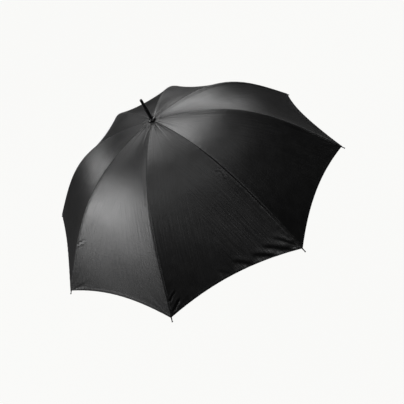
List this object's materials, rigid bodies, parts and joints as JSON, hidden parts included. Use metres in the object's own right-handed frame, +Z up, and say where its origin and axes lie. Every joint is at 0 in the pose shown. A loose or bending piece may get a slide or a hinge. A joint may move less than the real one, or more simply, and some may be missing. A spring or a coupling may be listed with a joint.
{
  "type": "windproof umbrella",
  "caption": "Open stick umbrella with a domed cloth canopy on flexing ribs, stretchers that fold with a sliding runner, a pointed ferrule and a straight foam grip.",
  "frame": {"origin": "middle of the grip, on the shaft's centre line", "axes": "+Z up the shaft towards the ferrule; +X along rib 1, ribs numbered counter-clockwise seen from above"},
  "size_m": [1.2874, 1.2874, 1.0257],
  "materials": {
    "canopy_cloth": "satin",
    "rib_fibreglass": "satin",
    "shaft_fibreglass": "gloss",
    "moulded_plastic": "gloss",
    "steel_wire": "satin",
    "satin_metal": "satin",
    "foam_grip": "matte"
  },
  "bodies": {
    "root": {"shaft": "shaft_fibreglass", "ferrule": "moulded_plastic", "hub_cap": "moulded_plastic", "top_notch": "moulded_plastic", "notch_wire": "steel_wire", "upper_stop_collar": "moulded_plastic", "handle_collar": "satin_metal", "grip": "foam_grip", "end_cap": "moulded_plastic"},
    "runner": {"runner": "moulded_plastic"},
    "button": {"runner_button": "satin_metal"},
    "arm_1": {"rib_inner_1": "rib_fibreglass", "elbow_bracket_1": "moulded_plastic", "canopy_panel_1": "canopy_cloth"},
    "arm_end_1": {"rib_outer_1": "rib_fibreglass", "rib_tip_1": "moulded_plastic"},
    "strut_1": {"stretcher_1": "rib_fibreglass"},
    "arm_2": {"rib_inner_2": "rib_fibreglass", "elbow_bracket_2": "moulded_plastic", "canopy_panel_2": "canopy_cloth"},
    "arm_end_2": {"rib_outer_2": "rib_fibreglass", "rib_tip_2": "moulded_plastic"},
    "strut_2": {"stretcher_2": "rib_fibreglass"},
    "arm_3": {"rib_inner_3": "rib_fibreglass", "elbow_bracket_3": "moulded_plastic", "canopy_panel_3": "canopy_cloth"},
    "arm_end_3": {"rib_outer_3": "rib_fibreglass", "rib_tip_3": "moulded_plastic"},
    "strut_3": {"stretcher_3": "rib_fibreglass"},
    "arm_4": {"rib_inner_4": "rib_fibreglass", "elbow_bracket_4": "moulded_plastic", "canopy_panel_4": "canopy_cloth"},
    "arm_end_4": {"rib_outer_4": "rib_fibreglass", "rib_tip_4": "moulded_plastic"},
    "strut_4": {"stretcher_4": "rib_fibreglass"},
    "arm_5": {"rib_inner_5": "rib_fibreglass", "elbow_bracket_5": "moulded_plastic", "canopy_panel_5": "canopy_cloth"},
    "arm_end_5": {"rib_outer_5": "rib_fibreglass", "rib_tip_5": "moulded_plastic", "tie_strap": "canopy_cloth"},
    "strut_5": {"stretcher_5": "rib_fibreglass"},
    "arm_6": {"rib_inner_6": "rib_fibreglass", "elbow_bracket_6": "moulded_plastic", "canopy_panel_6": "canopy_cloth"},
    "arm_end_6": {"rib_outer_6": "rib_fibreglass", "rib_tip_6": "moulded_plastic"},
    "strut_6": {"stretcher_6": "rib_fibreglass"},
    "arm_7": {"rib_inner_7": "rib_fibreglass", "elbow_bracket_7": "moulded_plastic", "canopy_panel_7": "canopy_cloth"},
    "arm_end_7": {"rib_outer_7": "rib_fibreglass", "rib_tip_7": "moulded_plastic"},
    "strut_7": {"stretcher_7": "rib_fibreglass"},
    "arm_8": {"rib_inner_8": "rib_fibreglass", "elbow_bracket_8": "moulded_plastic", "canopy_panel_8": "canopy_cloth"},
    "arm_end_8": {"rib_outer_8": "rib_fibreglass", "rib_tip_8": "moulded_plastic"},
    "strut_8": {"stretcher_8": "rib_fibreglass"}
  },
  "joints": [
    {"name": "runner_slide", "type": "slide", "parent": "root", "child": "runner", "axis": [0, 0, -1], "range_m": [0, 0.44221]},
    {"name": "button_press", "type": "slide", "parent": "runner", "child": "button", "axis": [-0.9239, -0.3827, 0], "range_m": [0, 0.0014], "stiffness_N_per_m": 700, "springref_m": -0.001},
    {"name": "rib_hinge_1", "type": "hinge", "parent": "root", "child": "arm_1", "pos_m": [0.0145, 0, 0.83894], "axis": [0, 1, 0], "range_deg": [0, 76.33], "deforming": ["canopy_panel_1"]},
    {"name": "rib_flex_1", "type": "hinge", "parent": "arm_1", "child": "arm_end_1", "pos_m": [0.34932, 0, 0.76352], "axis": [0, 1, 0], "range_deg": [-35.79, 0]},
    {"name": "stretcher_hinge_1", "type": "hinge", "parent": "arm_1", "child": "strut_1", "pos_m": [0.33589, 0, 0.76233], "axis": [0, 1, 0], "range_deg": [-136.47, 0]},
    {"name": "rib_hinge_2", "type": "hinge", "parent": "root", "child": "arm_2", "pos_m": [0.01025, 0.01025, 0.83894], "axis": [-0.7071, 0.7071, 0], "range_deg": [0, 76.33], "deforming": ["canopy_panel_2"]},
    {"name": "rib_flex_2", "type": "hinge", "parent": "arm_2", "child": "arm_end_2", "pos_m": [0.24701, 0.24701, 0.76352], "axis": [-0.7071, 0.7071, 0], "range_deg": [-35.79, 0]},
    {"name": "stretcher_hinge_2", "type": "hinge", "parent": "arm_2", "child": "strut_2", "pos_m": [0.23751, 0.23751, 0.76233], "axis": [-0.7071, 0.7071, 0], "range_deg": [-136.47, 0]},
    {"name": "rib_hinge_3", "type": "hinge", "parent": "root", "child": "arm_3", "pos_m": [0, 0.0145, 0.83894], "axis": [-1, 0, 0], "range_deg": [0, 76.33], "deforming": ["canopy_panel_3"]},
    {"name": "rib_flex_3", "type": "hinge", "parent": "arm_3", "child": "arm_end_3", "pos_m": [0, 0.34932, 0.76352], "axis": [-1, 0, 0], "range_deg": [-35.79, 0]},
    {"name": "stretcher_hinge_3", "type": "hinge", "parent": "arm_3", "child": "strut_3", "pos_m": [0, 0.33589, 0.76233], "axis": [-1, 0, 0], "range_deg": [-136.47, 0]},
    {"name": "rib_hinge_4", "type": "hinge", "parent": "root", "child": "arm_4", "pos_m": [-0.01025, 0.01025, 0.83894], "axis": [-0.7071, -0.7071, 0], "range_deg": [0, 76.33], "deforming": ["canopy_panel_4"]},
    {"name": "rib_flex_4", "type": "hinge", "parent": "arm_4", "child": "arm_end_4", "pos_m": [-0.24701, 0.24701, 0.76352], "axis": [-0.7071, -0.7071, 0], "range_deg": [-35.79, 0]},
    {"name": "stretcher_hinge_4", "type": "hinge", "parent": "arm_4", "child": "strut_4", "pos_m": [-0.23751, 0.23751, 0.76233], "axis": [-0.7071, -0.7071, 0], "range_deg": [-136.47, 0]},
    {"name": "rib_hinge_5", "type": "hinge", "parent": "root", "child": "arm_5", "pos_m": [-0.0145, 0, 0.83894], "axis": [0, -1, 0], "range_deg": [0, 76.33], "deforming": ["canopy_panel_5"]},
    {"name": "rib_flex_5", "type": "hinge", "parent": "arm_5", "child": "arm_end_5", "pos_m": [-0.34932, 0, 0.76352], "axis": [0, -1, 0], "range_deg": [-35.79, 0]},
    {"name": "stretcher_hinge_5", "type": "hinge", "parent": "arm_5", "child": "strut_5", "pos_m": [-0.33589, 0, 0.76233], "axis": [0, -1, 0], "range_deg": [-136.47, 0]},
    {"name": "rib_hinge_6", "type": "hinge", "parent": "root", "child": "arm_6", "pos_m": [-0.01025, -0.01025, 0.83894], "axis": [0.7071, -0.7071, 0], "range_deg": [0, 76.33], "deforming": ["canopy_panel_6"]},
    {"name": "rib_flex_6", "type": "hinge", "parent": "arm_6", "child": "arm_end_6", "pos_m": [-0.24701, -0.24701, 0.76352], "axis": [0.7071, -0.7071, 0], "range_deg": [-35.79, 0]},
    {"name": "stretcher_hinge_6", "type": "hinge", "parent": "arm_6", "child": "strut_6", "pos_m": [-0.23751, -0.23751, 0.76233], "axis": [0.7071, -0.7071, 0], "range_deg": [-136.47, 0]},
    {"name": "rib_hinge_7", "type": "hinge", "parent": "root", "child": "arm_7", "pos_m": [0, -0.0145, 0.83894], "axis": [1, 0, 0], "range_deg": [0, 76.33], "deforming": ["canopy_panel_7"]},
    {"name": "rib_flex_7", "type": "hinge", "parent": "arm_7", "child": "arm_end_7", "pos_m": [0, -0.34932, 0.76352], "axis": [1, 0, 0], "range_deg": [-35.79, 0]},
    {"name": "stretcher_hinge_7", "type": "hinge", "parent": "arm_7", "child": "strut_7", "pos_m": [0, -0.33589, 0.76233], "axis": [1, 0, 0], "range_deg": [-136.47, 0]},
    {"name": "rib_hinge_8", "type": "hinge", "parent": "root", "child": "arm_8", "pos_m": [0.01025, -0.01025, 0.83894], "axis": [0.7071, 0.7071, 0], "range_deg": [0, 76.33], "deforming": ["canopy_panel_8"]},
    {"name": "rib_flex_8", "type": "hinge", "parent": "arm_8", "child": "arm_end_8", "pos_m": [0.24701, -0.24701, 0.76352], "axis": [0.7071, 0.7071, 0], "range_deg": [-35.79, 0]},
    {"name": "stretcher_hinge_8", "type": "hinge", "parent": "arm_8", "child": "strut_8", "pos_m": [0.23751, -0.23751, 0.76233], "axis": [0.7071, 0.7071, 0], "range_deg": [-136.47, 0]}
  ],
  "couplings": [
    {"joint": "rib_hinge_1", "follows": "runner_slide", "rad_per_m": 3.0046},
    {"joint": "rib_flex_1", "follows": "runner_slide", "rad_per_m": -1.4046},
    {"joint": "stretcher_hinge_1", "follows": "runner_slide", "rad_per_m": -5.3743},
    {"joint": "rib_hinge_2", "follows": "runner_slide", "rad_per_m": 3.0046},
    {"joint": "rib_flex_2", "follows": "runner_slide", "rad_per_m": -1.4046},
    {"joint": "stretcher_hinge_2", "follows": "runner_slide", "rad_per_m": -5.3743},
    {"joint": "rib_hinge_3", "follows": "runner_slide", "rad_per_m": 3.0046},
    {"joint": "rib_flex_3", "follows": "runner_slide", "rad_per_m": -1.4046},
    {"joint": "stretcher_hinge_3", "follows": "runner_slide", "rad_per_m": -5.3743},
    {"joint": "rib_hinge_4", "follows": "runner_slide", "rad_per_m": 3.0046},
    {"joint": "rib_flex_4", "follows": "runner_slide", "rad_per_m": -1.4046},
    {"joint": "stretcher_hinge_4", "follows": "runner_slide", "rad_per_m": -5.3743},
    {"joint": "rib_hinge_5", "follows": "runner_slide", "rad_per_m": 3.0046},
    {"joint": "rib_flex_5", "follows": "runner_slide", "rad_per_m": -1.4046},
    {"joint": "stretcher_hinge_5", "follows": "runner_slide", "rad_per_m": -5.3743},
    {"joint": "rib_hinge_6", "follows": "runner_slide", "rad_per_m": 3.0046},
    {"joint": "rib_flex_6", "follows": "runner_slide", "rad_per_m": -1.4046},
    {"joint": "stretcher_hinge_6", "follows": "runner_slide", "rad_per_m": -5.3743},
    {"joint": "rib_hinge_7", "follows": "runner_slide", "rad_per_m": 3.0046},
    {"joint": "rib_flex_7", "follows": "runner_slide", "rad_per_m": -1.4046},
    {"joint": "stretcher_hinge_7", "follows": "runner_slide", "rad_per_m": -5.3743},
    {"joint": "rib_hinge_8", "follows": "runner_slide", "rad_per_m": 3.0046},
    {"joint": "rib_flex_8", "follows": "runner_slide", "rad_per_m": -1.4046},
    {"joint": "stretcher_hinge_8", "follows": "runner_slide", "rad_per_m": -5.3743}
  ]
}
